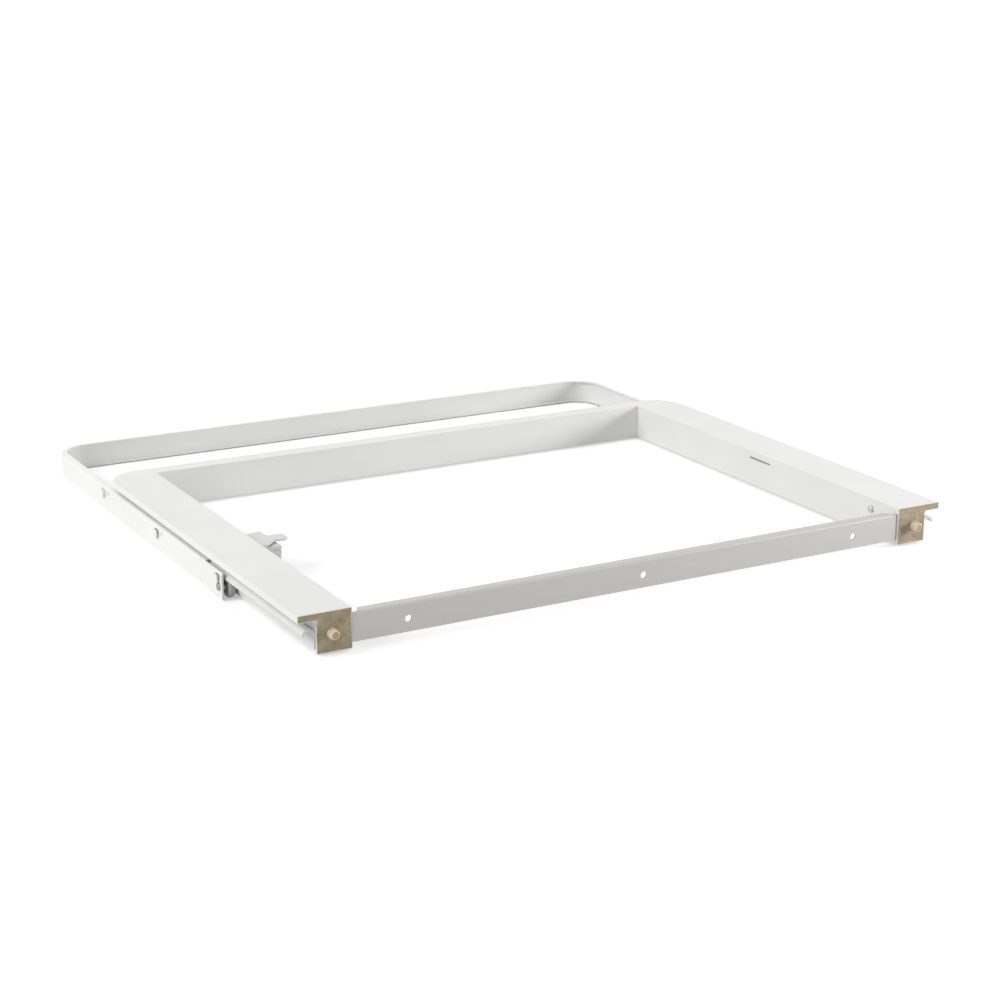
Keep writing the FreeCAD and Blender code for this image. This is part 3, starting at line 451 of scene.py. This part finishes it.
def turn_fluted_dowel(side):
    """Beech dowel with pressed flutes for the glue and a chamfer at each end."""
    flutes, flute_depth, flute_narrowing = 12, 0.8 * MM, 1.5
    full, faint = 1.0, 0.1
    chamfer, brow = 1.0 * MM, 0.3 * MM
    steps = 168
    node = "front_dowel_" + side
    low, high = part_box(node)
    middle = Vector(((low.x + high.x) / 2, 0, (low.z + high.z) / 2))
    radius = (high.x - low.x) / 2
    tip, shoulder, glued = radius - 1.15 * MM, radius - 0.1 * MM, radius - 0.25 * MM
    # each station holds its place along the dowel, the radius there, and how deep the flutes are
    stations = [(low.y, tip, faint), (low.y + chamfer, shoulder, full),
                (low.y + chamfer + brow, radius, full), (BOARD_FRONT, radius, full),
                (BOARD_FRONT, glued, full), (high.y - chamfer, glued, full),
                (high.y, glued - chamfer, faint)]
    mesh = bmesh.new()
    rings = []
    for along, reach, share in stations:
        ring = []
        for step in range(steps):
            turn = 2 * math.pi * step / steps
            groove = max(0.0, math.cos(turn * flutes)) ** flute_narrowing
            spoke = reach - flute_depth * share * groove
            spot = Vector((spoke * math.cos(turn), along, spoke * math.sin(turn)))
            ring.append(mesh.verts.new(middle + spot))
        rings.append(ring)
    for first, second in zip(rings, rings[1:]):
        for step in range(steps):
            after = (step + 1) % steps
            mesh.faces.new((first[step], first[after], second[after], second[step]))
    for ring in (rings[0], rings[-1]):
        mesh.faces.new(ring).material_index = SECOND_FINISH
    finish_piece(mesh, "fluted_dowel_" + side, node, [FINISHES["beech"], END_GRAIN])


def fold_band():
    """Coated strap bent round the back. The upright edge faces of its foot flange carry painted shade in a
    finish of their own.
    """
    mesh = joined_copy("outer_band")
    flange_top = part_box("outer_band")[0].z + STRAP_SHEET + HAIR
    mesh.normal_update()
    # the foot flange's upright faces take the painted shade
    for face in mesh.faces:
        if abs(face.normal.z) < UPRIGHT and max(point.co.z for point in face.verts) < flange_top:
            face.material_index = SECOND_FINISH
    ease_edges(mesh, 0.2 * MM, least_edge=1.5 * MM)
    finish_piece(mesh, "hooked_band", "outer_band", [FINISHES["white_steel"], EDGE_PAINTED_SHADE])


def islands(mesh):
    """The separate solids in a working mesh, each as its points."""
    rest = set(mesh.verts)
    found = []
    while rest:
        island, reached = set(), [next(iter(rest))]
        while reached:
            point = reached.pop()
            if point not in island:
                island.add(point)
                reached.extend(edge.other_vert(point) for edge in point.link_edges)
        rest -= island
        found.append([point.co.copy() for point in island])
    return sorted(found, key=lambda points: (min(p.x for p in points), min(p.y for p in points)))


def cross_cutter(centre, outward):
    """Four-armed wedge that cuts a driver recess; outward is the direction out of the screw head."""
    reach, depth, above_head = 1.7 * MM, 1.2 * MM, 0.5 * MM
    # shares of the reach: an arm's width in the head's face and at the bottom, and its length at the bottom
    width_above, width_below, length_below = 0.5, 0.36, 0.45
    first_arm = 25
    cutter = bmesh.new()
    turn_out = Vector((0, 0, 1)).rotation_difference(outward).to_matrix()
    for degrees in (first_arm, first_arm + 90):
        arm = bmesh.ops.create_cube(cutter, size=1)["verts"]
        swing = turn_out @ Matrix.Rotation(math.radians(degrees), 3, "Z")
        for point in arm:
            deep = point.co.z < 0
            length = 2 * reach * (length_below if deep else 1)
            width = reach * (width_below if deep else width_above)
            spot = Vector((point.co.x * length, point.co.y * width, -depth if deep else above_head))
            point.co = swing @ spot + centre
    data = bpy.data.meshes.new("recess_cutter")
    bmesh.ops.recalc_face_normals(cutter, faces=cutter.faces)
    cutter.to_mesh(data)
    cutter.free()
    tool = bpy.data.objects.new("recess_cutter", data)
    bpy.context.scene.collection.objects.link(tool)
    return tool


def cut_out(piece, tools):
    """Cuts the tools' shapes out of a piece and keeps the result as its own mesh."""
    piece.modifiers.clear()
    for tool in tools:
        cut = piece.modifiers.new("recess", "BOOLEAN")
        cut.operation = "DIFFERENCE"
        cut.solver = "EXACT"
        cut.use_self = True
        cut.object = tool
    bpy.context.view_layer.update()
    carved = bpy.data.meshes.new_from_object(piece.evaluated_get(bpy.context.evaluated_depsgraph_get()))
    piece.modifiers.clear()
    carved.name = piece.data.name
    piece.data = carved
    shade_evenly(piece)
    for tool in tools:
        bpy.data.objects.remove(tool)


def drive_screws(node, name, facing):
    """Screws of one node with a cross recess in each head. Facing is OUTWARD where the heads look away from
    the middle plane of the frame, and INWARD where they look towards it."""
    mesh = joined_copy(node)
    heads = []
    for points in islands(mesh):
        low = Vector([min(p[i] for p in points) for i in range(3)])
        high = Vector([max(p[i] for p in points) for i in range(3)])
        middle = (low + high) / 2
        outward = Vector((math.copysign(1, facing * middle.x), 0, 0))
        heads.append((middle + outward * (high.x - low.x) / 2, outward))
    ease_edges(mesh, 0.15 * MM)
    piece = finish_piece(mesh, name, node, [FINISHES[SLOTS[node]]])
    cut_out(piece, [cross_cutter(head, outward) for head, outward in heads])


def ease_node(node, name, width, finish=None, **limits):
    """A node's own shape with its edges eased, in its slot's finish or the one given."""
    mesh = joined_copy(node)
    ease_edges(mesh, width, **limits)
    finish_piece(mesh, name, node, [finish or FINISHES[SLOTS[node]]])


wrap_cross_board()
ease_node("front_rail", "folded_front_rail", width=0.2 * MM, least_edge=1.0 * MM)
ease_node("basket_catch", "moulded_catch", width=0.4 * MM)
ease_node("rear_joint_dowels", "joint_dowels", width=0.5 * MM)
fold_band()
drive_screws("front_rail_screws", "front_rail_screws_cut", INWARD)
for side in SIDES:
    wrap_side_board(side)
    turn_fluted_dowel(side)
    ease_node("basket_stud_" + side, "turned_stud_" + side, width=0.2 * MM)
    ease_node("slide_rail_" + side, "rolled_slide_rail_" + side, width=0.2 * MM, finish=RAIL_LACQUER,
              least_edge=1.5 * MM)
    drive_screws("slide_rail_screws_" + side, "slide_rail_screws_cut_" + side, OUTWARD)
    for end in ("front", "rear"):
        ease_node(end + "_roller_" + side, end + "_grooved_roller_" + side, width=0.2 * MM)
        # the rivets take the zinc painted darker as shade
        ease_node(end + "_roller_rivet_" + side, end + "_riveted_axle_" + side, width=0.15 * MM,
                  finish=SHADE_DARKENED_ZINC)


def place_camera():
    """Camera fitted to the edges of the boards, the rail and the band in the photograph."""
    yaw, pitch, roll = 0.50841, -0.29117, 0.00148
    stand = Vector((-0.87591, -1.62200, 0.55669))
    focal_length, sensor_width = 75.434, 36
    nearest, farthest = 0.05, 50
    ahead = Vector((math.sin(yaw) * math.cos(pitch), math.cos(yaw) * math.cos(pitch), math.sin(pitch)))
    right = Vector((math.cos(yaw), -math.sin(yaw), 0))
    up = right.cross(ahead)
    right_rolled = right * math.cos(roll) + up * math.sin(roll)
    up_rolled = up * math.cos(roll) - right * math.sin(roll)
    turn = Matrix((right_rolled, up_rolled, -ahead)).transposed().to_4x4()
    lens = bpy.data.cameras.new("camera")
    lens.sensor_width = sensor_width
    lens.lens = focal_length
    lens.clip_start = nearest
    lens.clip_end = farthest
    camera = bpy.data.objects.new("camera", lens)
    camera.matrix_world = Matrix.Translation(stand) @ turn
    bpy.context.scene.collection.objects.link(camera)
    bpy.context.scene.camera = camera


def hang_lamp(name, place, aim, size, power):
    """A square soft box that faces the point it is aimed at."""
    light = bpy.data.lights.new(name, "AREA")
    light.shape = "SQUARE"
    light.size = size
    light.energy = power
    lamp = bpy.data.objects.new(name, light)
    lamp.location = place
    lamp.rotation_euler = (Vector(aim) - Vector(place)).to_track_quat("-Z", "Y").to_euler()
    lamp.visible_camera = False
    bpy.context.scene.collection.objects.link(lamp)


def seen_or_mirrored(tree):
    """1 where a ray comes from the camera, a glossy face or glass, and 0 where it only carries light."""
    ray = add(tree, "LightPath", {}).outputs
    either = add(tree, "Math", {0: ray["Is Camera Ray"], 1: ray["Is Glossy Ray"]}, operation="MAXIMUM")
    any_of = add(tree, "Math", {0: either.outputs[0], 1: ray["Is Transmission Ray"]}, operation="MAXIMUM")
    return any_of.outputs[0]


def lay_floor():
    """Pale floor that reads white to the camera and in gloss, but keeps the soft shadow under the frame."""
    # the floor lies a hair's breadth under the object, so that the two never share a plane
    reach, below = 12, 0.2 * MM
    mesh = bmesh.new()
    corners = ((-1, -1), (1, -1), (1, 1), (-1, 1))
    mesh.faces.new([mesh.verts.new((x * reach, y * reach, -below)) for x, y in corners])
    data = bpy.data.meshes.new("floor")
    mesh.to_mesh(data)
    mesh.free()
    floor = bpy.data.objects.new("floor", data)
    bpy.context.scene.collection.objects.link(floor)
    material = bpy.data.materials.new("pale_floor")
    material.use_nodes = True
    tree = material.node_tree
    tree.nodes.clear()
    # the glow that lifts the floor to white grows from the object's foot outwards
    place = add(tree, "TexCoord", {}).outputs["Object"]
    away = add(tree, "VectorMath", {0: place}, operation="LENGTH").outputs["Value"]
    white = add(tree, "MapRange", {"Value": away, "From Min": 0.6, "From Max": 1.6,
                                   "To Min": 0.42, "To Max": 0.8}).outputs["Result"]
    lift = add(tree, "Math", {0: seen_or_mirrored(tree), 1: white}, operation="MULTIPLY").outputs[0]
    matt = add(tree, "BsdfDiffuse", {"Color": linear("#E6E6E6")}).outputs[0]
    glow = add(tree, "Emission", {"Strength": lift}).outputs[0]
    both = add(tree, "AddShader", {0: matt, 1: glow}).outputs[0]
    add(tree, "OutputMaterial", {"Surface": both})
    data.materials.append(material)


def light_world():
    """Even white surroundings: full white where they are seen or mirrored, softer as light."""
    world = bpy.data.worlds.new("studio")
    bpy.context.scene.world = world
    world.use_nodes = True
    tree = world.node_tree
    tree.nodes.clear()
    seen = seen_or_mirrored(tree)
    strength = add(tree, "MapRange", {"Value": seen, "To Min": 0.41, "To Max": 1}).outputs["Result"]
    sky = add(tree, "Background", {"Color": linear("#FFFFFF"), "Strength": strength}).outputs[0]
    add(tree, "OutputWorld", {"Surface": sky})


place_camera()
hang_lamp("left_soft_box", place=(-3.4, 0.1, 2.0), aim=(0, 0, 0), size=2.2, power=85)
hang_lamp("top_soft_box", place=(0.1, 0.4, 2.4), aim=(0.1, 0.4, 0), size=1.5, power=4)
hang_lamp("rear_soft_box", place=(1.75, 2.9, 1.7), aim=(0, 0, 0), size=3, power=16.5)
hang_lamp("right_front_soft_box", place=(1.3, -0.9, 0.36), aim=(0.1, -0.25, 0), size=0.4, power=12)
light_world()
lay_floor()
bpy.context.scene.view_settings.view_transform = "Standard"
